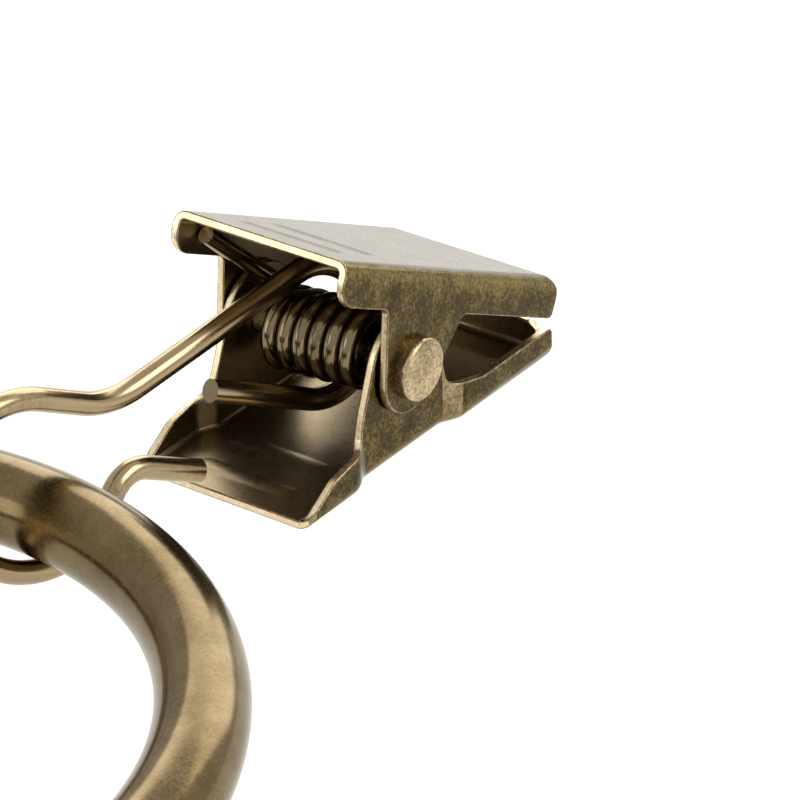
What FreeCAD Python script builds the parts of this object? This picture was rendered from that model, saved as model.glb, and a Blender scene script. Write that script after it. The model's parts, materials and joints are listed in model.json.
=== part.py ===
import FreeCAD, Part
import math
import os

"""Curtain ring with a spring clip, lying on a table.

Millimetres. X runs from the ring to the clip's nose, Z is up and the table is at zero. The ring's centre
and the middle of the whole length stand over the origin. The clip's rivet lies along Y.
"""

# Ring
RING_INNER_DIAMETER = 38.0
RING_BAR_DIAMETER = 4.35

# Sheet of both jaws
CLIP_WIDTH = 10.5
SHEET = 0.45
SIDE_BEND = 0.7
LIP_SLOT = 0.3
LIP_OVER = 0.2
NOTCH_WIDTH = 0.9
NOTCH_DEPTH = 0.35
NOSE_CORNER = 0.35
LIP_EDGE = 0.15
SIDE_PLAY = 0.1
JAW_ANGLE = 26.3

# Upper jaw, measured from its plate and from the rivet
UPPER_REAR = 8.08
UPPER_FRONT = 11.82
UPPER_PLATE_TO_RIVET = 4.95
UPPER_FLANGE = 2.18
UPPER_REAR_FLANGE = 2.2
UPPER_FLANGE_CORNER = 1.3
UPPER_LIP_BEND = 1.2
UPPER_EAR_BASE = 3.45
UPPER_EAR_SHIFT = 0.2
UPPER_EAR_RADIUS = 2.15
UPPER_EAR_DROP = 0.25
UPPER_EAR_FILLET = 0.5

# Lower jaw, measured from its floor and from the rivet
LOWER_REAR = 8.9
LOWER_FRONT = 11.9
LOWER_FLOOR_TO_RIVET = 5.03
LOWER_FLANGE = 1.78
LOWER_EAR_RADIUS = 2.85
LOWER_EAR_REAR = 4.1
LOWER_EAR_FRONT = 3.2
LOWER_EAR_REAR_HEIGHT = 2.3
LOWER_EAR_FRONT_HEIGHT = 2.43
LOWER_FLANGE_START = 5.8
LOWER_EAR_FILLET = 0.7
LOWER_TAIL_HEIGHT = 1.8
LOWER_TAIL_START = 6.7
LOWER_TAIL_ROUND = 1.6
LOWER_TAIL_CORNER = 0.8
LOWER_LIP_BEND = 0.8
JOGGLE_REAR = 4.7
JOGGLE_FRONT = 3.95
JOGGLE_RUN = 1.0
JOGGLE_RADIUS = 1.45

# Grip ribs pressed into both plates
RIB_LENGTH = 6.35
RIB_WIDTH = 1.3
RIB_DEPTH = 0.065
UPPER_RIBS = (5.6, 2.9)
LOWER_RIBS = (7.05, 4.3)

# Rivet
RIVET_DIAMETER = 1.6
RIVET_HEAD_DIAMETER = 3.3
RIVET_HEAD_HEIGHT = 0.62
RIVET_HEAD_ROUND = 0.25
RIVET_PLAY = 0.05

# Torsion spring
SPRING_WIRE = 0.9
SPRING_MEAN_DIAMETER = 3.58
SPRING_PITCH = 0.97
SPRING_TURNS = 6
SPRING_FLOOR_LEG = 60.0
SPRING_PLATE_LEG = 45.0
SPRING_TILT = 5.0
SPRING_RISE = 0.09
SPRING_LEG_GAP = 0.15

# Hanger hook, one bent wire
HOOK_WIRE = 1.2
HOOK_YAW = 8.0
HOOK_OFFSET = 1.41
LOOP_PLAY = 0.55
LOOP_RISE = 0.17
LOOP_LEAN = 14.0
TAIL_RISE = 25.0
TAIL_LENGTH = 6.45
STEM_DROP = 9.3
STEM_LENGTH = 11.1
DIP_RADIUS = 5.66
RISER_ANGLE = 27.4
RISER_LENGTH = 2.9
CREST_RADIUS = 6.0
EYE_RADIUS = 6.25
EYE_TURN = 125.0
EYE_LEAN = 11.4
CURL_RADIUS = 4.65
CURL_TURN = 52.0
TIP_RADIUS = 2.0
TIP_DROP = 25.4
TIP_LENGTH = 3.45
EYE_LIFT = 0.15

# How the ring lies in the eye
RING_BEHIND_RIVET = 19.15
RING_GAP = 0.22
CLIP_SIDE_SHIFT = 3.35

V = FreeCAD.Vector
X, Y, Z = V(1, 0, 0), V(0, 1, 0), V(0, 0, 1)
SMALL = 1e-6
OVER = 20.0

RING_BAR_RADIUS = RING_BAR_DIAMETER / 2
RING_RADIUS = RING_INNER_DIAMETER / 2 + RING_BAR_RADIUS
HALF_WIDTH = CLIP_WIDTH / 2
RING_SEAT = EYE_LIFT + HOOK_WIRE + RING_GAP + RING_BAR_RADIUS
RING_TILT = math.degrees(math.asin((RING_SEAT - RING_BAR_RADIUS) / (2 * RING_RADIUS)))
RIVET_HEIGHT = LOWER_FLOOR_TO_RIVET
RIB_RADIUS = (RIB_WIDTH ** 2 / 4 + RIB_DEPTH ** 2) / (2 * RIB_DEPTH)


def turned(vector, axis, degrees):
    """The vector turned about an axis by the right-hand rule."""
    return FreeCAD.Rotation(axis, degrees).multVec(vector)


def tangent_foot(base, centre, radius, tip_height):
    """Where the line from base past a circle's outer side crosses the height of the circle's top."""
    side = 1 if base[0] > centre[0] else -1
    run = abs(centre[0] - base[0])
    rise = centre[1] - base[1]
    angle = math.atan2(rise, run) + math.asin(radius / math.hypot(run, rise))
    reach = (tip_height - base[1]) / math.sin(angle)
    return base[0] - side * reach * math.cos(angle), tip_height


def rounded_edges(corners):
    """Lines and arcs through corners given as (x, y, radius), closed, in the XY plane."""
    spans = []
    for i, (x, y, radius) in enumerate(corners):
        here = V(x, y, 0)
        before = V(corners[i - 1][0], corners[i - 1][1], 0)
        after = V(corners[(i + 1) % len(corners)][0], corners[(i + 1) % len(corners)][1], 0)
        back = (before - here).normalize()
        on = (after - here).normalize()
        half = back.getAngle(on) / 2
        if radius <= 0 or abs(half - math.pi / 2) < SMALL:
            spans.append((here, None, here))
            continue
        reach = radius / math.tan(half)
        centre = here + (back + on).normalize() * (radius / math.sin(half))
        middle = centre + (here - centre).normalize() * radius
        spans.append((here + back * reach, middle, here + on * reach))
    edges = []
    for i, (start, middle, end) in enumerate(spans):
        if middle is not None:
            edges.append(Part.Arc(start, middle, end).toShape())
        follow = spans[(i + 1) % len(spans)][0]
        if (follow - end).Length > SMALL:
            edges.append(Part.LineSegment(end, follow).toShape())
    return edges


def prism(corners, height):
    """An upright prism on a rounded outline."""
    wire = Part.Wire(Part.__sortEdges__(rounded_edges(corners)))
    return Part.Face(wire).extrude(Z * height)


def side_prism(corners, half_width):
    """A prism on a side outline of (x, z, radius) corners, across the clip's width."""
    shape = prism(corners, 2 * half_width)
    shape.rotate(V(0, 0, 0), X, 90)
    shape.translate(Y * half_width)
    return shape


def mirrored_plan(side):
    """A closed plan from the corners of its +Y side, listed from rear to front."""
    far = [(x, -y, radius) for x, y, radius in side]
    return far + side[::-1]


def straight_side(rear, front, inset):
    """The plan of a straight side, inset from the outer face."""
    return [(-rear, HALF_WIDTH - inset, 0), (front, HALF_WIDTH - inset, 0)]


def joggled_side(rear, front, inset):
    """The plan of a side that steps inwards by one sheet round the rivet, inset from the outer face."""
    wide = HALF_WIDTH - inset
    step = SHEET + SIDE_PLAY
    shift = inset * math.tan(math.atan2(step, JOGGLE_RUN) / 2)
    outside = JOGGLE_RADIUS - inset
    inside = JOGGLE_RADIUS - SHEET + inset
    return [
        (-rear, wide, 0),
        (-JOGGLE_REAR - shift, wide, outside),
        (-JOGGLE_REAR + JOGGLE_RUN - shift, wide - step, inside),
        (JOGGLE_FRONT - JOGGLE_RUN + shift, wide - step, inside),
        (JOGGLE_FRONT + shift, wide, outside),
        (front, wide, 0),
    ]


def pressed_block(plan, floor, bend, outline, half_width):
    """The block inside one face of a folded sheet, its long bottom edges rounded."""
    block = prism(plan, OVER)
    block.translate(Z * floor)
    long_edges = []
    for edge in block.Edges:
        box = edge.BoundBox
        if box.ZMax < floor + SMALL and box.XLength > SMALL:
            long_edges.append(edge)
    block = block.makeFillet(bend, long_edges)
    return block.common(side_prism(outline, half_width))


def nose_notch(front, flange, bend):
    """The room at one end of a nose lip: above the side and, wedged, into the lip's own corner."""
    side = HALF_WIDTH - SHEET
    lip_end = side - NOTCH_WIDTH
    corners = [
        (side + OVER, flange),
        (side, flange),
        (side, flange - NOTCH_DEPTH),
        (lip_end, flange + LIP_OVER),
        (lip_end, flange + OVER),
        (side + OVER, flange + OVER),
    ]
    wire = Part.makePolygon([V(front - bend, y, z) for y, z in corners + corners[:1]])
    return Part.Face(wire).extrude(X * OVER)


def side_corner(front, flange):
    """The room outside the rounded top corner of a side at the nose."""
    place = V(front - NOSE_CORNER, HALF_WIDTH - SHEET, flange - NOSE_CORNER)
    block = Part.makeBox(OVER, OVER, OVER, place)
    return block.cut(Part.makeCylinder(NOSE_CORNER, OVER, place, Y))


def folded_sheet(side_plan, outline, rear, front, flange, bend):
    """A sheet with both sides and the nose folded up from a floor at zero height."""
    outer = pressed_block(mirrored_plan(side_plan(rear, front, 0)), 0, SIDE_BEND, outline, HALF_WIDTH)
    inner_plan = mirrored_plan(side_plan(rear + OVER, front - SHEET, SHEET))
    inner_outline = [
        (-rear - OVER, SHEET, 0),
        (-rear - OVER, OVER, 0),
        (front - SHEET, OVER, 0),
        (front - SHEET, SHEET, bend - SHEET),
    ]
    inner = pressed_block(inner_plan, SHEET, SIDE_BEND - SHEET, inner_outline, HALF_WIDTH)
    sheet = outer.cut(inner)
    slot = Part.makeBox(bend + SHEET, LIP_SLOT, OVER)
    slot.translate(V(front - bend, HALF_WIDTH - SHEET - LIP_SLOT, SHEET))
    room = slot.multiFuse([nose_notch(front, flange, bend), side_corner(front, flange)])
    return sheet.cut(room).cut(room.mirror(V(0, 0, 0), Y))


def rib_die():
    """A round bar along Y with ball ends, of which only the top enters the sheet."""
    straight = RIB_LENGTH - RIB_WIDTH
    bar = Part.makeCylinder(RIB_RADIUS, straight, V(0, -straight / 2, 0), Y)
    for side in (-1, 1):
        bar = bar.fuse(Part.makeSphere(RIB_RADIUS, V(0, side * straight / 2, 0)))
    return bar.removeSplitter()


def pressed_ribs(sheet, places):
    """Grip ribs pressed into a floor from below, a groove outside and a ridge inside."""
    for place in places:
        groove = rib_die()
        groove.translate(V(-place, 0, RIB_DEPTH - RIB_RADIUS))
        ridge = groove.translated(Z * SHEET)
        above = Part.makeBox(2 * OVER, 2 * OVER, OVER, V(-place - OVER, -OVER, SHEET - RIB_DEPTH))
        sheet = sheet.fuse(ridge.common(above)).cut(groove)
    return sheet


def rivet_hole(sheet, height, radius):
    """A sheet with a hole for the rivet through both ears."""
    return sheet.cut(Part.makeCylinder(radius, 2 * OVER, V(0, -OVER, height), Y))


def nose_outline(front, flange, bend):
    """The side outline of a nose, from the end of the flange over the taller lip to the plate."""
    step = front - bend
    return [
        (step, flange, 0),
        (step, flange + LIP_OVER, 0),
        (front, flange + LIP_OVER, LIP_EDGE),
        (front, 0, bend),
    ]


def tail_plan():
    """The room inside the plan of the lower jaw, with both corners of its tail rounded."""
    side = [(-LOWER_REAR, HALF_WIDTH, LOWER_TAIL_CORNER), (LOWER_FRONT, HALF_WIDTH, 0)]
    return prism(mirrored_plan(side), OVER)


def upper_jaw():
    """The upper jaw: a channel with two round ears outside those of the lower jaw."""
    tip = UPPER_PLATE_TO_RIVET + UPPER_EAR_DROP + UPPER_EAR_RADIUS
    centre = (-UPPER_EAR_SHIFT, UPPER_PLATE_TO_RIVET + UPPER_EAR_DROP)
    ear = []
    for side in (-1, 1):
        base = (side * UPPER_EAR_BASE - UPPER_EAR_SHIFT, UPPER_FLANGE if side > 0 else UPPER_REAR_FLANGE)
        foot = tangent_foot(base, centre, UPPER_EAR_RADIUS, tip)
        ear.append([(*base, UPPER_EAR_FILLET), (*foot, UPPER_EAR_RADIUS)])
    outline = [
        (-UPPER_REAR, 0, 0),
        (-UPPER_REAR, UPPER_REAR_FLANGE, UPPER_FLANGE_CORNER),
        *ear[0],
        *ear[1][::-1],
        *nose_outline(UPPER_FRONT, UPPER_FLANGE, UPPER_LIP_BEND),
    ]
    jaw = folded_sheet(straight_side, outline, UPPER_REAR, UPPER_FRONT, UPPER_FLANGE, UPPER_LIP_BEND)
    jaw = pressed_ribs(jaw, UPPER_RIBS)
    jaw = rivet_hole(jaw, UPPER_PLATE_TO_RIVET, RIVET_DIAMETER / 2)
    jaw.translate(Z * -UPPER_PLATE_TO_RIVET)
    jaw.rotate(V(0, 0, 0), X, 180)
    jaw.rotate(V(0, 0, 0), Y, JAW_ANGLE)
    jaw.translate(Z * RIVET_HEIGHT)
    return jaw


def lower_jaw():
    """The lower jaw: its walls step inwards where its ears stand between those of the upper jaw."""
    tip = LOWER_FLOOR_TO_RIVET + LOWER_EAR_RADIUS
    centre = (0, LOWER_FLOOR_TO_RIVET)
    rear_base = (-LOWER_EAR_REAR, LOWER_EAR_REAR_HEIGHT)
    front_base = (LOWER_EAR_FRONT, LOWER_EAR_FRONT_HEIGHT)
    rear_foot = tangent_foot(rear_base, centre, LOWER_EAR_RADIUS, tip)
    front_foot = tangent_foot(front_base, centre, LOWER_EAR_RADIUS, tip)
    outline = [
        (-LOWER_REAR, 0, 0),
        (-LOWER_REAR, SHEET, 0),
        (-LOWER_TAIL_START, LOWER_TAIL_HEIGHT, LOWER_TAIL_ROUND),
        (*rear_base, LOWER_EAR_FILLET),
        (*rear_foot, LOWER_EAR_RADIUS),
        (*front_foot, LOWER_EAR_RADIUS),
        (*front_base, LOWER_EAR_FILLET),
        (LOWER_FLANGE_START, LOWER_FLANGE, LOWER_FLANGE),
        *nose_outline(LOWER_FRONT, LOWER_FLANGE, LOWER_LIP_BEND),
    ]
    jaw = folded_sheet(joggled_side, outline, LOWER_REAR, LOWER_FRONT, LOWER_FLANGE, LOWER_LIP_BEND)
    jaw = jaw.common(tail_plan())
    jaw = pressed_ribs(jaw, LOWER_RIBS)
    return rivet_hole(jaw, LOWER_FLOOR_TO_RIVET, RIVET_DIAMETER / 2 + RIVET_PLAY)


def rivet():
    """The rivet, its two heads closed on the upper jaw's ears."""
    body = Part.makeCylinder(RIVET_DIAMETER / 2, CLIP_WIDTH, V(0, -HALF_WIDTH, 0), Y)
    for side in (-1, 1):
        seat = V(0, side * HALF_WIDTH, 0)
        face = side * (HALF_WIDTH + RIVET_HEAD_HEIGHT)
        head = Part.makeCylinder(RIVET_HEAD_DIAMETER / 2, RIVET_HEAD_HEIGHT, seat, Y * side)
        rim = [edge for edge in head.Edges if abs(edge.CenterOfMass.y - face) < SMALL]
        body = body.fuse(head.makeFillet(RIVET_HEAD_ROUND, rim))
    body.translate(Z * RIVET_HEIGHT)
    return body.removeSplitter()


def bent_wire(start, direction, steps, radius):
    """A round wire, one solid for each straight run (length) or bend (radius, degrees, axis)."""
    place = V(start)
    heading = V(direction).normalize()
    solids = []
    for step in steps:
        section = Part.Face(Part.Wire(Part.makeCircle(radius, place, heading)))
        if len(step) == 1:
            solids.append(section.extrude(heading * step[0]))
            place = place + heading * step[0]
            continue
        bend, degrees, axis = step
        centre = place + axis.cross(heading) * bend
        solids.append(section.revolve(centre, axis, degrees))
        place = centre + turned(place - centre, axis, degrees)
        heading = turned(heading, axis, degrees)
    return solids, place, heading


def torsion_spring():
    """The torsion spring: a close coil round the rivet, with one leg under each plate."""
    radius = SPRING_MEAN_DIAMETER / 2
    first = math.radians(SPRING_FLOOR_LEG - 90)
    last = math.radians(90 - SPRING_PLATE_LEG)
    turns = SPRING_TURNS + (last - first) / (2 * math.pi)
    length = turns * SPRING_PITCH
    rise = SPRING_PITCH / (2 * math.pi)
    helix = Part.makeLongHelix(SPRING_PITCH, length, radius, 0, True)
    helix.rotate(V(0, 0, 0), Z, math.degrees(-first))
    helix.rotate(V(0, 0, 0), X, -90)
    helix.translate(Y * (-length / 2))
    tilt = FreeCAD.Rotation(X, -SPRING_TILT)
    rise_of_coil = Z * SPRING_RISE
    starts = []
    for angle, side in ((first, -1), (last, 1)):
        place = V(radius * math.cos(angle), side * length / 2, radius * math.sin(angle))
        heading = V(-radius * math.sin(angle), rise, radius * math.cos(angle)).normalize() * side
        starts.append((place, heading))
    place, heading = starts[0]
    section = Part.Wire(Part.makeCircle(SPRING_WIRE / 2, place, heading))
    coil = helix.makePipeShell([section], True, True)
    plate_normals = (Z * -1, turned(Z, Y, JAW_ANGLE))
    plate_heights = (LOWER_FLOOR_TO_RIVET - SHEET, UPPER_PLATE_TO_RIVET - SHEET)
    spring = coil
    for (place, heading), normal, height in zip(starts, plate_normals, plate_heights):
        reach = height - SPRING_WIRE / 2 - SPRING_LEG_GAP - (tilt.multVec(place) + rise_of_coil).dot(normal)
        leg = reach / tilt.multVec(heading).dot(normal)
        spring = spring.fuse(Part.makeCylinder(SPRING_WIRE / 2, leg, place, heading))
    spring.rotate(V(0, 0, 0), X, -SPRING_TILT)
    spring.translate(rise_of_coil + Z * RIVET_HEIGHT)
    return spring


def hanger_hook():
    """The hanger: a loop round the coil, a stem, a dip, a crest and the open eye that holds the ring."""
    yawed = FreeCAD.Rotation(Z, -HOOK_YAW)
    back = yawed.multVec(X) * -1
    side = yawed.multVec(Y)
    wire = HOOK_WIRE / 2
    loop = SPRING_MEAN_DIAMETER / 2 + SPRING_WIRE / 2 + LOOP_PLAY + wire
    stem = turned(back, side, -STEM_DROP)
    top = V(0, HOOK_OFFSET, RIVET_HEIGHT + LOOP_RISE) + turned(stem, side, 90) * loop
    lean = turned(side, stem, LOOP_LEAN)
    ahead, _, _ = bent_wire(top, stem * -1, [(loop, 180 + STEM_DROP + TAIL_RISE, lean), (TAIL_LENGTH,)], wire)
    behind, crest, back = bent_wire(top, stem, [
        (STEM_LENGTH,),
        (DIP_RADIUS, STEM_DROP + RISER_ANGLE, side),
        (RISER_LENGTH,),
        (CREST_RADIUS, RISER_ANGLE, side * -1),
    ], wire)
    eye_side = turned(side, back, EYE_LEAN) * -1
    depth = (crest.z - wire - EYE_LIFT) / math.cos(math.radians(EYE_LEAN))
    share = math.cos(math.radians(EYE_TURN))
    small = (depth - EYE_RADIUS * (1 + share)) / (1 - share)
    eye, _, _ = bent_wire(crest, back, [
        (small, EYE_TURN, eye_side),
        (EYE_RADIUS, 180 - EYE_TURN, eye_side),
        (CURL_RADIUS, CURL_TURN, eye_side),
        (TIP_RADIUS, CURL_TURN + TIP_DROP, eye_side * -1),
        (TIP_LENGTH,),
    ], wire)
    pieces = ahead + behind + eye
    return pieces[0].multiFuse(pieces[1:]).removeSplitter()


def curtain_ring():
    """The ring, its near side lifted by the hook's wire under it."""
    ring = Part.makeTorus(RING_RADIUS, RING_BAR_RADIUS)
    ring.rotate(V(0, 0, 0), Y, -RING_TILT)
    reach = RING_RADIUS * math.cos(math.radians(RING_TILT))
    ring.translate(V(-RING_BEHIND_RIVET - reach, CLIP_SIDE_SHIFT, (RING_SEAT + RING_BAR_RADIUS) / 2))
    return ring


def placed(shape):
    """A shape moved from under the rivet to the middle of the whole length, the ring's centre on X."""
    reach = RING_RADIUS * math.cos(math.radians(RING_TILT))
    rear = -RING_BEHIND_RIVET - 2 * reach - RING_BAR_RADIUS
    nose = V(UPPER_FRONT - UPPER_LIP_BEND, 0, UPPER_PLATE_TO_RIVET - UPPER_LIP_BEND)
    front = turned(nose, Y, JAW_ANGLE).x + UPPER_LIP_BEND
    shape.translate(V(-(rear + front) / 2, -CLIP_SIDE_SHIFT, 0))
    return shape


PIECES = {
    "curtain_ring": curtain_ring,
    "hanger_hook": hanger_hook,
    "lower_jaw": lower_jaw,
    "upper_jaw": upper_jaw,
    "rivet": rivet,
    "torsion_spring": torsion_spring,
}

os.makedirs("parts", exist_ok=True)
for name, make in PIECES.items():
    solid = placed(make())
    print(name, solid.isValid(), len(solid.Solids), round(solid.Volume, 3), solid.BoundBox)
    solid.exportStep(f"parts/{name}.step")
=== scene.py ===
"""A curtain ring with a spring clip, dressed in worn antique bronze on a small white set."""
import json
import math
from collections import Counter

import bmesh
import bpy
from mathutils import Matrix, Quaternion, Vector
from mathutils.bvhtree import BVHTree


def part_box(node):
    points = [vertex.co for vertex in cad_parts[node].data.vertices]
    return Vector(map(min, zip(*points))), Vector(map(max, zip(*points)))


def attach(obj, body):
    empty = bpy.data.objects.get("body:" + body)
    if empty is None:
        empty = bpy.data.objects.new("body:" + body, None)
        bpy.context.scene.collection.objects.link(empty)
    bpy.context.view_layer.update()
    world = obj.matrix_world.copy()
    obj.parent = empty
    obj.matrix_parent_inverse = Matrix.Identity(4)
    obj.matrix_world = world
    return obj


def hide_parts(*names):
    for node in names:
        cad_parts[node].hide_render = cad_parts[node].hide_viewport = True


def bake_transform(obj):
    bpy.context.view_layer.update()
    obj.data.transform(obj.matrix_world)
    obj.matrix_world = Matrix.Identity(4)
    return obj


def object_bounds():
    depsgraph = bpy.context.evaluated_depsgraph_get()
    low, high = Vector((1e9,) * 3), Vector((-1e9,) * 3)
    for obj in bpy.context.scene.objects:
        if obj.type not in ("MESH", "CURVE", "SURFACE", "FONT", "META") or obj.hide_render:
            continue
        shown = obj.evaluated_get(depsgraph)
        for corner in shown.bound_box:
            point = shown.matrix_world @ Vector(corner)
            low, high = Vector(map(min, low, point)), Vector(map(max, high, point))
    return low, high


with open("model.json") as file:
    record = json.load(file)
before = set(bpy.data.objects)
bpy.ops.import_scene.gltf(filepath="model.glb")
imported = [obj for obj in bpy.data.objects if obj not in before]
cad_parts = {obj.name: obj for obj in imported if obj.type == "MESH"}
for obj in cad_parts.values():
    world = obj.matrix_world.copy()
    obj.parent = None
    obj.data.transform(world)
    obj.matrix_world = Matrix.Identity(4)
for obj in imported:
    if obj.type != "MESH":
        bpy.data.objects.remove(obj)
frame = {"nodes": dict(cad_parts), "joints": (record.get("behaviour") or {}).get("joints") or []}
CAD_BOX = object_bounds()

bl_info = {
    "name": "Curtain ring with clip",
    "version": (1, 0, 0),
    "blender": (4, 5, 0),
    "location": "3D View > Sidebar > Curtain clip",
    "description": "Dresses a curtain ring, its wire hanger and its spring clip in antique bronze",
    "category": "Object",
}

MM = 0.001
X, Y, Z = Vector((1, 0, 0)), Vector((0, 1, 0)), Vector((0, 0, 1))
JOINTS = {joint["name"]: joint for joint in frame["joints"]}
RIVET_AXIS = Vector(JOINTS["jaw_squeeze"]["pos_m"])
RING_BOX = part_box("curtain_ring")
RING_REACH = (RING_BOX[1].y - RING_BOX[0].y) / 2

# Wire: the steps of its bends, the distance at which points are one, and the rims that stay sharp
BEND_STEP = math.radians(3)
COIL_STEP = math.radians(6)
FEWEST_STEPS = 2
WIRE_MERGE = 1e-7
WIRE_RIM = math.radians(40)
SIDE_CORNERS = 4

# Sheet, in millimetres: the order of its finishes, and what tells its faces and edges apart
OUTSIDE, CUT_EDGE, INSIDE, WORN = range(4)
SKIN = 0.001
CUT_DEPTH = 0.9
END_LEAN = 0.25
RAMP_LEAN = 0.25
SHEET_MERGE = 1e-4
SHORT_EDGE = 0.03
FLAT = math.radians(0.5)
SHARP = math.radians(35)
CREASE = math.radians(50)
ROUND_STEPS = 2
ROUND_PROFILE = 0.5

# Plating: the noise of its clouds and specks, where its tones lie, and the worn band under a fold
CLOUD_DETAIL, SPECK_DETAIL, NOISE_ROUGHNESS = 3.0, 2.0, 0.6
NOISE_LOW, NOISE_MIDDLE, NOISE_HIGH = 0.3, 0.5, 0.7
SPECK_SPREAD, CLOUD_SPREAD = 0.2, 0.1
TONE_STOPS = (0.32, 0.48, 0.72)
RELIEF_DEPTH = 0.01 * MM
FOLD_START, FOLD_FULL, FOLD_END = 0.03, 0.2, 1.2
FOLD_WEAR = 0.18

# Finishes: tones from dark to light, clouds and specks in blots to a millimetre, and the strength
# of the specks as grit
FINISHES = {
    "ring": {
        "name": "antique bronze ring", "tones": ("umber", "ochre", "straw"),
        "clouds": 0.45, "speck": 6.0, "gloss": (0.16, 0.22), "relief": 0.01, "grit": 0.4,
    },
    "wire": {
        "name": "antique bronze wire", "tones": ("straw", "honey", "honey"),
        "clouds": 0.5, "speck": 6.0, "gloss": (0.17, 0.23), "relief": 0.01, "grit": 0.4,
    },
    "rivet": {
        "name": "worn bronze rivet", "tones": ("ochre", "honey", "edge"),
        "clouds": 0.8, "speck": 7.0, "gloss": (0.25, 0.35), "relief": 0.04, "grit": 0.6,
    },
    "spring": {
        "name": "plated spring wire", "tones": ("umber", "steel", "steel"),
        "clouds": 0.6, "speck": 6.0, "gloss": (0.12, 0.16), "relief": 0.0, "grit": 0.3,
    },
    "edge": {
        "name": "bare cut edge", "tones": ("edge", "edge", "pale"),
        "clouds": 0.9, "speck": 5.0, "gloss": (0.25, 0.35), "relief": 0.05, "grit": 1.0,
    },
    "worn": {
        "name": "worn corner", "tones": ("ochre", "straw", "brass"),
        "clouds": 0.9, "speck": 6.0, "gloss": (0.22, 0.32), "relief": 0.03, "grit": 0.7,
    },
    # The jaws' inner faces carry the same plating as the outside; this copy is lighter, painted
    # fill light on their shaded insides.
    "inside": {
        "name": "inner plating", "tones": ("straw", "inside", "inside"),
        "clouds": 0.5, "speck": 5.0, "gloss": (0.27, 0.37), "relief": 0.05, "grit": 1.0,
    },
}
SHEET_FINISH = {
    "tones": ("patina", "bronze", "gold"),
    "clouds": 0.6, "speck": 6.0, "gloss": (0.17, 0.27), "relief": 0.04, "grit": 0.65,
}

# Set, in metres: the floor, each light's place from the middle of the part and its size, and the
# camera's place from the rivet with the directions to its right and ahead
FLOOR_REACH = 3.0
FLOOR_CORNERS = ((-1, -1), (1, -1), (1, 1), (-1, 1))
PAPER_ROUGHNESS = 0.9
WHITE = (1, 1, 1, 1)
LIGHTS = {
    "back": (Vector((0.426, 0.155, 0.211)), (0.6, 0.3)),
    "side": (Vector((0.15, -0.35, 0.33)), (0.3, 0.3)),
    "rim": (Vector((-0.41, 0.26, 0.14)), (0.25, 0.25)),
}
CAMERA_PLACE = Vector((-154.49, -119.5, 108.55)) * MM
CAMERA_RIGHT = Vector((0.587, -0.809, -0.023))
CAMERA_AHEAD = Vector((0.695, 0.518, -0.498))
CAMERA_NEAREST = 0.01
SENSOR_WIDTH = 36


def length(name, description, millimetres):
    """A length property, given in millimetres."""
    return bpy.props.FloatProperty(
        name=name, description=description, default=millimetres * MM, unit="LENGTH", precision=5
    )


def angle(name, description, degrees):
    """An angle property, given in degrees."""
    return bpy.props.FloatProperty(
        name=name, description=description, default=math.radians(degrees), subtype="ANGLE"
    )


def colour(name, description, red, green, blue):
    """A colour property in linear light."""
    return bpy.props.FloatVectorProperty(
        name=name, description=description, default=(red, green, blue, 1),
        size=4, subtype="COLOR", min=0, max=1,
    )


def whole_number(name, description, default):
    """A property that counts."""
    return bpy.props.IntProperty(name=name, description=description, default=default)


def plain_number(name, description, default, unit="NONE"):
    """A number property, in a unit where it has one."""
    return bpy.props.FloatProperty(name=name, description=description, default=default, unit=unit)


class RingSizes(bpy.types.PropertyGroup):
    """The ring's own sizes."""

    bar: length("Bar diameter", "Thickness of the ring's round bar", 4.35)
    around: whole_number("Steps around", "Segments along the ring", 256)
    across: whole_number("Steps across", "Segments round the bar", 64)


class HookSizes(bpy.types.PropertyGroup):
    """The bends of the hanger's wire, from its loop to its eye."""

    wire: length("Wire diameter", "Thickness of the hanger's wire", 1.2)
    sides: whole_number("Sides", "Segments round the hanger's wire", 40)
    offset: length("Offset", "How far the loop stands off the middle of the rivet", 1.41)
    yaw: angle("Yaw", "Turn of the whole hanger about the upright", 8.0)
    loop: length("Loop radius", "Radius of the loop round the spring", 3.39)
    loop_rise: length("Loop rise", "How far the loop's centre stands above the rivet's axis", 0.17)
    loop_lean: angle("Loop lean", "Lean of the loop out of the hanger's plane", 14.0)
    tail_rise: angle("Tail rise", "Climb of the loop's free tail", 25.0)
    tail: length("Tail length", "Length of the loop's free tail", 6.45)
    stem_drop: angle("Stem drop", "Fall of the straight stem", 9.3)
    stem: length("Stem length", "Length of the straight stem", 11.1)
    dip: length("Dip radius", "Radius of the dip behind the stem", 5.66)
    riser_angle: angle("Riser angle", "Climb of the riser", 27.4)
    riser: length("Riser length", "Length of the riser", 2.9)
    crest: length("Crest radius", "Radius of the crest above the eye", 6.0)
    eye: length("Eye radius", "Radius of the eye's wide lower bend", 6.25)
    eye_turn: angle("Eye turn", "Turn of the eye's tight upper bend", 125.0)
    eye_lean: angle("Eye lean", "Lean of the eye out of the hanger's plane", 11.4)
    curl: length("Curl radius", "Radius of the curl that closes the eye", 4.65)
    curl_turn: angle("Curl turn", "Turn of the curl", 52.0)
    tip: length("Tip radius", "Radius of the bend at the tip", 2.0)
    tip_drop: angle("Tip drop", "Fall of the tip", 25.4)
    tip_run: length("Tip length", "Length of the straight tip", 3.45)
    eye_lift: length("Eye lift", "Height of the eye's lowest point above the table", 0.15)


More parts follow.
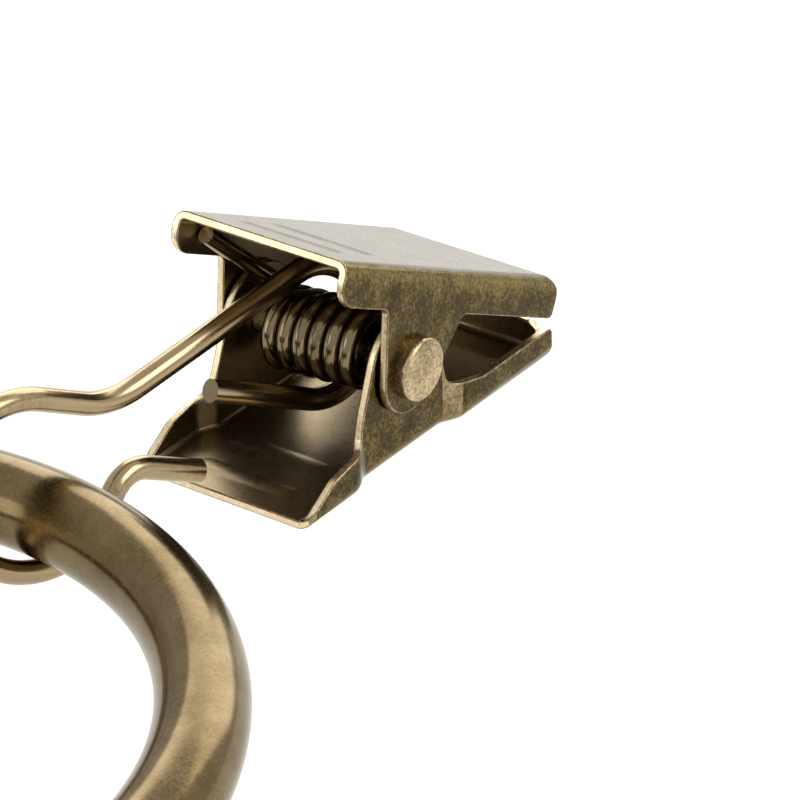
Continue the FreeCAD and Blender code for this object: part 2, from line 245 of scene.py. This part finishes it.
class SpringSizes(bpy.types.PropertyGroup):
    """The torsion spring's coil and legs."""

    wire: length("Wire diameter", "Thickness of the spring wire", 0.9)
    sides: whole_number("Sides", "Segments round the spring wire", 32)
    coil: length("Coil diameter", "Mean diameter of the coil", 3.58)
    pitch: length("Pitch", "Distance from turn to turn", 0.97)
    turns: whole_number("Turns", "Whole turns of the coil", 6)
    floor_leg: angle("Floor leg", "Slope of the leg that stands on the lower jaw", 60.0)
    plate_leg: angle("Plate leg", "Slope of the leg that lifts the upper jaw", 45.0)
    floor_run: length("Floor leg length", "Length of the leg that stands on the lower jaw", 4.038)
    plate_run: length("Plate leg length", "Length of the leg that lifts the upper jaw", 7.616)
    tilt: angle("Tilt", "Tilt of the coil on the rivet", 5.0)
    rise: length("Rise", "How far the coil stands above the rivet's axis", 0.09)


class JawSizes(bpy.types.PropertyGroup):
    """The wear of the folded jaws."""

    rounding: length("Rounding", "Width of the worn rounding along the edges", 0.08)


class FinishColours(bpy.types.PropertyGroup):
    """The colours of the worn bronze plating."""

    patina: colour("Patina", "Darkest brown of the sheet", 0.026, 0.016, 0.002)
    bronze: colour("Bronze", "Middle olive brown of the sheet", 0.049, 0.031, 0.005)
    gold: colour("Gold", "Light worn gold of the sheet", 0.19, 0.135, 0.044)
    umber: colour("Umber", "Darkest tone of the ring and the spring", 0.095, 0.066, 0.025)
    ochre: colour("Ochre", "Middle tone of the ring", 0.145, 0.104, 0.048)
    straw: colour("Straw", "Light tone of the ring", 0.215, 0.16, 0.085)
    honey: colour("Honey", "Middle tone of the hanger and the rivet", 0.35, 0.262, 0.148)
    brass: colour("Brass", "Bright worn brass of rounded corners", 0.42, 0.33, 0.2)
    edge: colour("Edge", "Bare brass of cut edges", 0.7, 0.55, 0.33)
    pale: colour("Pale", "Lightest brass of cut edges", 0.86, 0.76, 0.56)
    # Painted fill light: the inner faces' plating, lighter than the sheet's own tones.
    inside: colour("Inside", "Inner plating of the jaws, lightened as painted fill light", 0.25, 0.195, 0.115)
    steel: colour("Steel", "Plated spring wire", 0.2, 0.155, 0.09)
    tint: colour("Tint", "Tone of the plating at a glancing angle", 1.0, 0.98, 0.93)


class StageSettings(bpy.types.PropertyGroup):
    """Floor, light and camera of the white set."""

    floor: colour("Floor", "Colour of the floor", 0.25, 0.25, 0.25)
    glow: plain_number("Glow", "Light of the floor itself", 0.9)
    sky: plain_number("Sky", "Strength of the light from all round", 0.9)
    back: plain_number("Back", "Power of the large light behind", 1.5, unit="POWER")
    side: plain_number("Side", "Power of the small light beside", 1.2, unit="POWER")
    rim: plain_number("Rim", "Power of the low light behind the ring", 0.3, unit="POWER")
    lens: plain_number("Lens", "Focal length in millimetres", 202.5, unit="CAMERA")


class ClipSettings(bpy.types.PropertyGroup):
    """All settings of the curtain ring with clip."""

    ring: bpy.props.PointerProperty(type=RingSizes)
    hook: bpy.props.PointerProperty(type=HookSizes)
    spring: bpy.props.PointerProperty(type=SpringSizes)
    jaws: bpy.props.PointerProperty(type=JawSizes)
    colours: bpy.props.PointerProperty(type=FinishColours)
    stage: bpy.props.PointerProperty(type=StageSettings)


def settings():
    """The settings held by the scene."""
    return bpy.context.scene.curtain_clip


class Shader:
    """A short way to add and link the nodes of one metal finish."""

    def __init__(self, name):
        self.material = bpy.data.materials.new(name)
        self.material.use_nodes = True
        self.tree = self.material.node_tree
        self.surface = self.tree.nodes["Principled BSDF"]

    def add(self, kind, links=(), values=(), **fields):
        """A node of a kind, with inputs linked from other sockets, inputs set and fields set."""
        node = self.tree.nodes.new(kind)
        for name, value in fields.items():
            setattr(node, name, value)
        for name, value in values:
            node.inputs[name].default_value = value
        for name, source in links:
            self.tree.links.new(source, node.inputs[name])
        return node

    def place(self):
        """Object coordinates in millimetres."""
        links = [("Vector", self.add("ShaderNodeTexCoord").outputs["Object"])]
        values = [("Scale", [1 / MM] * 3)]
        return self.add("ShaderNodeMapping", links, values).outputs["Vector"]

    def noise(self, vector, scale, detail):
        """Soft noise of so many blots in a millimetre."""
        values = [("Scale", scale), ("Detail", detail), ("Roughness", NOISE_ROUGHNESS)]
        return self.add("ShaderNodeTexNoise", [("Vector", vector)], values).outputs["Fac"]

    def ramp(self, source, stops):
        """A colour ramp through (position, colour) stops."""
        node = self.add("ShaderNodeValToRGB", [("Fac", source)])
        elements = node.color_ramp.elements
        while len(elements) < len(stops):
            elements.new(NOISE_MIDDLE)
        for element, (position, tone) in zip(elements, stops):
            element.position = position
            element.color = tone
        return node.outputs["Color"]

    def fit(self, source, low, high, to_low, to_high):
        """A value stretched from one range to another."""
        values = [("From Min", low), ("From Max", high), ("To Min", to_low), ("To Max", to_high)]
        return self.add("ShaderNodeMapRange", [("Value", source)], values).outputs["Result"]

    def join(self, operation, first, second):
        """Two values joined by one operation."""
        node = self.add("ShaderNodeMath", [(0, first), (1, second)], operation=operation)
        return node.outputs["Value"]

    def height_along(self, vector, direction):
        """How far a place lies along a direction."""
        links, values = [(0, vector)], [(1, direction)]
        node = self.add("ShaderNodeVectorMath", links, values, operation="DOT_PRODUCT")
        return node.outputs["Value"]

    def bump(self, height, strength, distance):
        """A normal from a height."""
        values = [("Strength", strength), ("Distance", distance)]
        return self.add("ShaderNodeBump", [("Height", height)], values).outputs["Normal"]

    def metal(self, base, rough, normal):
        """Joins the colour, gloss and relief to a metal surface."""
        self.tree.links.new(base, self.surface.inputs["Base Color"])
        self.tree.links.new(rough, self.surface.inputs["Roughness"])
        self.tree.links.new(normal, self.surface.inputs["Normal"])
        self.surface.inputs["Metallic"].default_value = 1.0
        self.surface.inputs["Specular Tint"].default_value = settings().colours.tint[:]
        return self.material


def plated(name, tones, clouds, speck, gloss, relief, grit, plate=None):
    """Plating in three tones, strewn with fine specks that gather in clouds.

    A plate, given by its normal and a point in millimetres, is worn along the folds at its sides.
    """
    shader = Shader(name)
    place = shader.place()
    cloud = shader.noise(place, clouds, CLOUD_DETAIL)
    grain = shader.noise(place, speck, SPECK_DETAIL)
    spread = SPECK_SPREAD * grit
    specks = shader.fit(
        grain, NOISE_LOW, NOISE_HIGH, NOISE_MIDDLE - spread, NOISE_MIDDLE + spread
    )
    drift = shader.fit(cloud, NOISE_LOW, NOISE_HIGH, -CLOUD_SPREAD, CLOUD_SPREAD)
    share = shader.join("ADD", specks, drift)
    if plate:
        normal, point = plate
        top = normal.dot(point)
        height = shader.height_along(place, normal)
        fold = shader.fit(height, top - FOLD_START, top - FOLD_FULL, 0, FOLD_WEAR)
        fading = shader.fit(height, top - FOLD_FULL, top - FOLD_END, 1, 0)
        share = shader.join("ADD", share, shader.join("MULTIPLY", fold, fading))
    colours = settings().colours
    levels = [getattr(colours, tone)[:] for tone in tones]
    base = shader.ramp(share, list(zip(TONE_STOPS, levels)))
    rough = shader.fit(grain, NOISE_LOW, NOISE_HIGH, *gloss)
    return shader.metal(base, rough, shader.bump(grain, relief, RELIEF_DEPTH))


def finish(kind):
    """One of the part's finishes, made when it is first asked for."""
    look = FINISHES[kind]
    return bpy.data.materials.get(look["name"]) or plated(**look)


def sheet_finish(node, plate):
    """The finish of a folded sheet, worn along the folds beside its plate."""
    return plated(node + " antique bronze", plate=plate, **SHEET_FINISH)


def new_object(name, data):
    """A new object at the origin, in the scene."""
    piece = bpy.data.objects.new(name, data)
    bpy.context.scene.collection.objects.link(piece)
    return piece


def add_input(tree, name, kind):
    """A named input of a node tree; gives its identifier."""
    return tree.interface.new_socket(name=name, in_out="INPUT", socket_type=kind).identifier


def chain(tree, source, *nodes):
    """Links nodes one after the other through their geometry sockets."""
    for node in nodes:
        tree.links.new(source, node.inputs[0])
        source = node.outputs[0]
    return source


def sweep_tree(name, path_kind):
    """A tree that sweeps a round section along a path of a kind, and its inputs' identifiers."""
    tree = bpy.data.node_groups.new(name, "GeometryNodeTree")
    add_input(tree, "Path", "NodeSocketGeometry")
    inputs = {
        "radius": add_input(tree, "Section radius", "NodeSocketFloat"),
        "sides": add_input(tree, "Section sides", "NodeSocketInt"),
        "material": add_input(tree, "Material", "NodeSocketMaterial"),
    }
    tree.interface.new_socket(name="Geometry", in_out="OUTPUT", socket_type="NodeSocketGeometry")
    given = tree.nodes.new("NodeGroupInput")
    section = tree.nodes.new("GeometryNodeCurvePrimitiveCircle")
    tree.links.new(given.outputs["Section radius"], section.inputs["Radius"])
    tree.links.new(given.outputs["Section sides"], section.inputs["Resolution"])
    sweep = tree.nodes.new("GeometryNodeCurveToMesh")
    sweep.inputs["Fill Caps"].default_value = True
    tree.links.new(section.outputs["Curve"], sweep.inputs["Profile Curve"])
    path = path_kind(tree, given, inputs)
    smooth = tree.nodes.new("GeometryNodeSetShadeSmooth")
    real = tree.nodes.new("GeometryNodeRealizeInstances")
    paint = tree.nodes.new("GeometryNodeSetMaterial")
    tree.links.new(given.outputs["Material"], paint.inputs["Material"])
    swept_wire = chain(tree, path, sweep, smooth, real, paint)
    tree.links.new(swept_wire, tree.nodes.new("NodeGroupOutput").inputs["Geometry"])
    return tree, inputs


def drawn_path(tree, given, inputs):
    """The path is the line of edges that the object holds."""
    return chain(tree, given.outputs["Path"], tree.nodes.new("GeometryNodeMeshToCurve"))


def circle_path(tree, given, inputs):
    """The path is a tilted circle."""
    inputs["ring"] = add_input(tree, "Ring radius", "NodeSocketFloat")
    inputs["steps"] = add_input(tree, "Ring steps", "NodeSocketInt")
    inputs["centre"] = add_input(tree, "Centre", "NodeSocketVector")
    inputs["tilt"] = add_input(tree, "Tilt", "NodeSocketFloat")
    ring = tree.nodes.new("GeometryNodeCurvePrimitiveCircle")
    tree.links.new(given.outputs["Ring radius"], ring.inputs["Radius"])
    tree.links.new(given.outputs["Ring steps"], ring.inputs["Resolution"])
    turn = tree.nodes.new("ShaderNodeCombineXYZ")
    tree.links.new(given.outputs["Tilt"], turn.inputs["Y"])
    move = tree.nodes.new("GeometryNodeTransform")
    tree.links.new(turn.outputs["Vector"], move.inputs["Rotation"])
    tree.links.new(given.outputs["Centre"], move.inputs["Translation"])
    return chain(tree, ring.outputs["Curve"], move)


def as_mesh(piece):
    """Turns a piece with its modifiers into a plain mesh."""
    held = piece.evaluated_get(bpy.context.evaluated_depsgraph_get())
    piece.data = bpy.data.meshes.new_from_object(held)
    piece.modifiers.clear()
    return piece.data


def swept(name, points, path_kind, values, ends="spring"):
    """A round wire or bar swept along its path, its cut ends in a finish of their own."""
    line = bpy.data.meshes.new(name + " path")
    line.from_pydata(points, [(i, i + 1) for i in range(len(points) - 1)], [])
    piece = new_object(name, line)
    sweep = piece.modifiers.new("Sweep", "NODES")
    sweep.node_group, inputs = sweep_tree(name + " sweep", path_kind)
    for key, value in values.items():
        sweep[inputs[key]] = value
    mesh = as_mesh(piece)
    mesh.name = name
    turn_outward(mesh)
    mesh.materials.append(finish(ends))
    for face in mesh.polygons:
        face.material_index = int(len(face.vertices) > SIDE_CORNERS)
    return piece


def turn_outward(mesh):
    """Merges doubles, points every face outwards and keeps the rims of cut ends sharp."""
    work = bmesh.new()
    work.from_mesh(mesh)
    bmesh.ops.remove_doubles(work, verts=work.verts, dist=WIRE_MERGE)
    bmesh.ops.recalc_face_normals(work, faces=work.faces)
    work.to_mesh(mesh)
    work.free()
    mesh.set_sharp_from_angle(angle=WIRE_RIM)


def turned(vector, axis, radians):
    """A vector turned about an axis by the right-hand rule."""
    return Quaternion(axis, radians) @ vector


def bent_line(start, heading, steps):
    """Points along a wire, its end and its last heading.

    A step is one straight length, or a bend's radius, turn and axis.
    """
    place, heading = start.copy(), heading.normalized()
    points = [place.copy()]
    for step in steps:
        if len(step) == 1:
            place = place + heading * step[0]
            points.append(place.copy())
            continue
        radius, turn, axis = step
        centre = place + axis.cross(heading) * radius
        count = max(FEWEST_STEPS, math.ceil(turn / BEND_STEP))
        for i in range(1, count + 1):
            points.append(centre + turned(place - centre, axis, turn * i / count))
        place = points[-1].copy()
        heading = turned(heading, axis, turn)
    return points, place, heading


def hook_points():
    """The centre line of the hanger's wire, from the loop's tail to the tip of the eye's curl."""
    hook = settings().hook
    back = turned(-X, Z, -hook.yaw)
    side = turned(Y, Z, -hook.yaw)
    stem = turned(back, side, -hook.stem_drop)
    centre = RIVET_AXIS + Y * hook.offset + Z * hook.loop_rise
    top = centre + turned(stem, side, math.pi / 2) * hook.loop
    lean = turned(side, stem, hook.loop_lean)
    loop_turn = math.pi + hook.stem_drop + hook.tail_rise
    ahead, _, _ = bent_line(top, -stem, [(hook.loop, loop_turn, lean), (hook.tail,)])
    behind, crest, back = bent_line(top, stem, [
        (hook.stem,),
        (hook.dip, hook.stem_drop + hook.riser_angle, side),
        (hook.riser,),
        (hook.crest, hook.riser_angle, -side),
    ])
    eye_side = -turned(side, back, hook.eye_lean)
    depth = (crest.z - hook.wire / 2 - hook.eye_lift) / math.cos(hook.eye_lean)
    share = math.cos(hook.eye_turn)
    tight = (depth - hook.eye * (1 + share)) / (1 - share)
    eye, _, _ = bent_line(crest, back, [
        (tight, hook.eye_turn, eye_side),
        (hook.eye, math.pi - hook.eye_turn, eye_side),
        (hook.curl, hook.curl_turn, eye_side),
        (hook.tip, hook.curl_turn + hook.tip_drop, -eye_side),
        (hook.tip_run,),
    ])
    return ahead[::-1] + behind[1:] + eye[1:]


def spring_points():
    """The centre line of the torsion spring, from its floor leg round the coil to its plate leg."""
    spring = settings().spring
    radius = spring.coil / 2
    first = spring.floor_leg - math.pi / 2
    last = math.pi / 2 - spring.plate_leg + spring.turns * 2 * math.pi
    rise = spring.pitch / (2 * math.pi)
    half = rise * (last - first) / 2
    count = math.ceil((last - first) / COIL_STEP)
    coil = []
    for i in range(count + 1):
        turn = first + (last - first) * i / count
        along = rise * (turn - first) - half
        coil.append(Vector((radius * math.cos(turn), along, radius * math.sin(turn))))
    legs = []
    for turn, run in ((first, -spring.floor_run), (last, spring.plate_run)):
        heading = Vector((-radius * math.sin(turn), rise, radius * math.cos(turn))).normalized()
        legs.append(heading * run)
    points = [coil[0] + legs[0], *coil, coil[-1] + legs[1]]
    tilt = Quaternion(X, -spring.tilt)
    return [RIVET_AXIS + tilt @ point + Z * spring.rise for point in points]


def sheet_side(face, solid):
    """Where a face of a sheet lies: outside, on a cut edge, inside, or where a wall steps out."""
    middle = face.calc_center_median()
    _, _, _, depth = solid.ray_cast(middle - face.normal * SKIN, -face.normal)
    along, across, up = face.normal
    looks_back = along < -END_LEAN and abs(across) < END_LEAN and up > -END_LEAN
    rear_end = looks_back and middle.x < RIVET_AXIS.x / MM
    if rear_end or depth is None or depth > CUT_DEPTH:
        return CUT_EDGE
    if face.normal.dot(middle - RIVET_AXIS / MM) < 0:
        return INSIDE
    return WORN if along < -RAMP_LEAN and abs(across) > RAMP_LEAN else OUTSIDE


def join_specks(work):
    """Gives a face the finish of its smooth neighbours where they all share another one."""
    for face in work.faces:
        beside = set()
        for edge in face.edges:
            if edge.calc_face_angle(0) < SHARP:
                others = (other for other in edge.link_faces if other is not face)
                beside.update(other.material_index for other in others)
        if len(beside) == 1:
            face.material_index = beside.pop()


def plain_rims(work):
    """The sharp edges of a sheet that run on past both of their ends without branching."""
    rims = [
        edge for edge in work.edges
        if len(edge.link_faces) == 2 and edge.calc_face_angle(0) > SHARP
    ]
    meeting = Counter(corner for edge in rims for corner in edge.verts)
    return [edge for edge in rims if all(meeting[corner] == 2 for corner in edge.verts)]


def rounded_copy(node, rounding):
    """A copy of a sheet node with its edges rounded off and worn, bare where the sheet was cut."""
    work = bmesh.new()
    work.from_mesh(frame["nodes"][node].data)
    bmesh.ops.scale(work, vec=Vector((1, 1, 1)) / MM, verts=work.verts)
    bmesh.ops.remove_doubles(work, verts=work.verts, dist=SHEET_MERGE)
    solid = BVHTree.FromBMesh(work)
    for face in work.faces:
        face.smooth = True
        face.material_index = sheet_side(face, solid)
    join_specks(work)
    bmesh.ops.dissolve_limit(
        work, angle_limit=FLAT, verts=work.verts, edges=work.edges, delimit={"MATERIAL"}
    )
    bmesh.ops.remove_doubles(work, verts=work.verts, dist=SHORT_EDGE)
    outer_faces = [face for face in work.faces if face.material_index == OUTSIDE]
    plate = max(outer_faces, key=lambda face: face.calc_area())
    outside = sheet_finish(node, (plate.normal.copy(), plate.calc_center_median()))
    bmesh.ops.bevel(
        work, geom=plain_rims(work), offset=rounding / MM, offset_type="OFFSET",
        segments=ROUND_STEPS, profile=ROUND_PROFILE, affect="EDGES", clamp_overlap=False,
        material=WORN, loop_slide=True,
    )
    bmesh.ops.scale(work, vec=Vector((1, 1, 1)) * MM, verts=work.verts)
    mesh = bpy.data.meshes.new(node + "_dressed")
    work.to_mesh(mesh)
    work.free()
    # The inner faces take the lightened plating that paints fill light into the shaded insides.
    for material in (outside, finish("edge"), finish("inside"), finish("worn")):
        mesh.materials.append(material)
    mesh.set_sharp_from_angle(angle=CREASE)
    piece = new_object(node + "_dressed", mesh)
    flat = piece.modifiers.new("Flat faces", "WEIGHTED_NORMAL")
    flat.keep_sharp = True
    as_mesh(piece)
    return piece


class CLIP_OT_curtain_ring(bpy.types.Operator):
    """Make the round-bar ring"""

    bl_idname = "clip.curtain_ring"
    bl_label = "Curtain ring"

    def execute(self, context):
        sizes = settings().ring
        bar = sizes.bar / 2
        radius = RING_REACH - bar
        lift = RING_BOX[1].z - RING_BOX[0].z - sizes.bar
        centre = (RING_BOX[0] + RING_BOX[1]) / 2
        piece = swept("ring_bar", [(0, 0, 0)], circle_path, {
            "radius": bar,
            "sides": sizes.across,
            "material": finish("ring"),
            "ring": radius,
            "steps": sizes.around,
            "centre": centre,
            "tilt": -math.asin(lift / (2 * radius)),
        })
        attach(piece, "ring")
        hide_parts("curtain_ring")
        return {"FINISHED"}


class CLIP_OT_hanger_hook(bpy.types.Operator):
    """Bend the hanger's wire"""

    bl_idname = "clip.hanger_hook"
    bl_label = "Hanger hook"

    def execute(self, context):
        sizes = settings().hook
        piece = swept("hanger_wire", hook_points(), drawn_path, {
            "radius": sizes.wire / 2,
            "sides": sizes.sides,
            "material": finish("wire"),
        })
        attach(piece, "hanger")
        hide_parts("hanger_hook")
        return {"FINISHED"}


class CLIP_OT_torsion_spring(bpy.types.Operator):
    """Wind the torsion spring that sits between the two jaws"""

    bl_idname = "clip.torsion_spring"
    bl_label = "Torsion spring"

    def execute(self, context):
        sizes = settings().spring
        points = spring_points()
        piece = swept("spring_wire", points, drawn_path, {
            "radius": sizes.wire / 2,
            "sides": sizes.sides,
            "material": finish("spring"),
        }, ends="edge")
        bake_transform(piece)
        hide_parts("torsion_spring")
        return {"FINISHED"}


class CLIP_OT_jaws(bpy.types.Operator):
    """Round off both folded jaws and wear their edges bright"""

    bl_idname = "clip.jaws"
    bl_label = "Jaws"

    def execute(self, context):
        for node in ("lower_jaw", "upper_jaw"):
            piece = rounded_copy(node, settings().jaws.rounding)
            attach(piece, node)
            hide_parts(node)
        return {"FINISHED"}


class CLIP_OT_rivet(bpy.types.Operator):
    """Finish the rivet"""

    bl_idname = "clip.rivet"
    bl_label = "Rivet"

    def execute(self, context):
        node = frame["nodes"]["rivet"]
        node.data.materials.clear()
        node.data.materials.append(finish("rivet"))
        return {"FINISHED"}


def white_floor():
    """A wide floor of white paper that glows a little, so that it shows no shadow."""
    stage = settings().stage
    mesh = bpy.data.meshes.new("floor")
    corners = [(x * FLOOR_REACH, y * FLOOR_REACH, 0) for x, y in FLOOR_CORNERS]
    mesh.from_pydata(corners, [], [range(len(corners))])
    paper = bpy.data.materials.new("white paper")
    paper.use_nodes = True
    surface = paper.node_tree.nodes["Principled BSDF"]
    surface.inputs["Base Color"].default_value = stage.floor[:]
    surface.inputs["Roughness"].default_value = PAPER_ROUGHNESS
    surface.inputs["Emission Color"].default_value = WHITE
    surface.inputs["Emission Strength"].default_value = stage.glow
    mesh.materials.append(paper)
    return new_object("floor", mesh)


def white_room():
    """Even white light from all round."""
    world = bpy.data.worlds.new("white room")
    world.use_nodes = True
    sky = world.node_tree.nodes["Background"]
    sky.inputs["Color"].default_value = WHITE
    sky.inputs["Strength"].default_value = settings().stage.sky
    return world


def area_light(name, place, target, size, watts):
    """A soft light of a width and height that looks at a target."""
    light = bpy.data.lights.new(name, "AREA")
    light.shape = "RECTANGLE"
    light.size, light.size_y = size
    light.energy = watts
    lamp = new_object(name, light)
    lamp.location = place
    lamp.rotation_euler = (target - place).to_track_quat("-Z", "Y").to_euler()


def photo_camera():
    """A camera that looks at the clip from the photograph's side."""
    camera = bpy.data.cameras.new("photo camera")
    camera.sensor_width = SENSOR_WIDTH
    camera.lens = settings().stage.lens
    camera.clip_start = CAMERA_NEAREST
    viewer = new_object("photo camera", camera)
    right = CAMERA_RIGHT.normalized()
    ahead = (CAMERA_AHEAD - right * CAMERA_AHEAD.dot(right)).normalized()
    up = right.cross(ahead)
    turn = Matrix((right, up, -ahead)).transposed().to_4x4()
    viewer.matrix_world = Matrix.Translation(RIVET_AXIS + CAMERA_PLACE) @ turn
    return viewer


class CLIP_OT_stage(bpy.types.Operator):
    """Set the white floor, the soft light and the camera"""

    bl_idname = "clip.stage"
    bl_label = "Stage"

    def execute(self, context):
        floor = white_floor()
        middle = (CAD_BOX[0] + CAD_BOX[1]) / 2
        for name, (offset, size) in LIGHTS.items():
            watts = getattr(settings().stage, name)
            area_light(name + " light", middle + offset, middle, size, watts)
        context.scene.world = white_room()
        context.scene.camera = photo_camera()
        context.scene.view_settings.view_transform = "Standard"
        return {"FINISHED"}


class CLIP_PT_panel(bpy.types.Panel):
    """Lists the pieces in the sidebar"""

    bl_idname = "CLIP_PT_panel"
    bl_label = "Curtain ring with clip"
    bl_space_type = "VIEW_3D"
    bl_region_type = "UI"
    bl_category = "Curtain clip"

    def draw(self, context):
        for operator in OPERATORS:
            self.layout.operator(operator.bl_idname)


GROUPS = (
    RingSizes,
    HookSizes,
    SpringSizes,
    JawSizes,
    FinishColours,
    StageSettings,
    ClipSettings,
)
OPERATORS = (
    CLIP_OT_curtain_ring,
    CLIP_OT_hanger_hook,
    CLIP_OT_torsion_spring,
    CLIP_OT_jaws,
    CLIP_OT_rivet,
    CLIP_OT_stage,
)


def register():
    """Makes the settings, the operators and the panel known."""
    for item in (*GROUPS, *OPERATORS, CLIP_PT_panel):
        bpy.utils.register_class(item)
    bpy.types.Scene.curtain_clip = bpy.props.PointerProperty(type=ClipSettings)


def unregister():
    """Takes the settings, the operators and the panel away again."""
    del bpy.types.Scene.curtain_clip
    for item in reversed((*GROUPS, *OPERATORS, CLIP_PT_panel)):
        bpy.utils.unregister_class(item)


def main():
    """Builds the dressed part."""
    register()
    bpy.ops.clip.curtain_ring()
    bpy.ops.clip.hanger_hook()
    bpy.ops.clip.torsion_spring()
    bpy.ops.clip.jaws()
    bpy.ops.clip.rivet()
    bpy.ops.clip.stage()


if __name__ == "__main__":
    main()
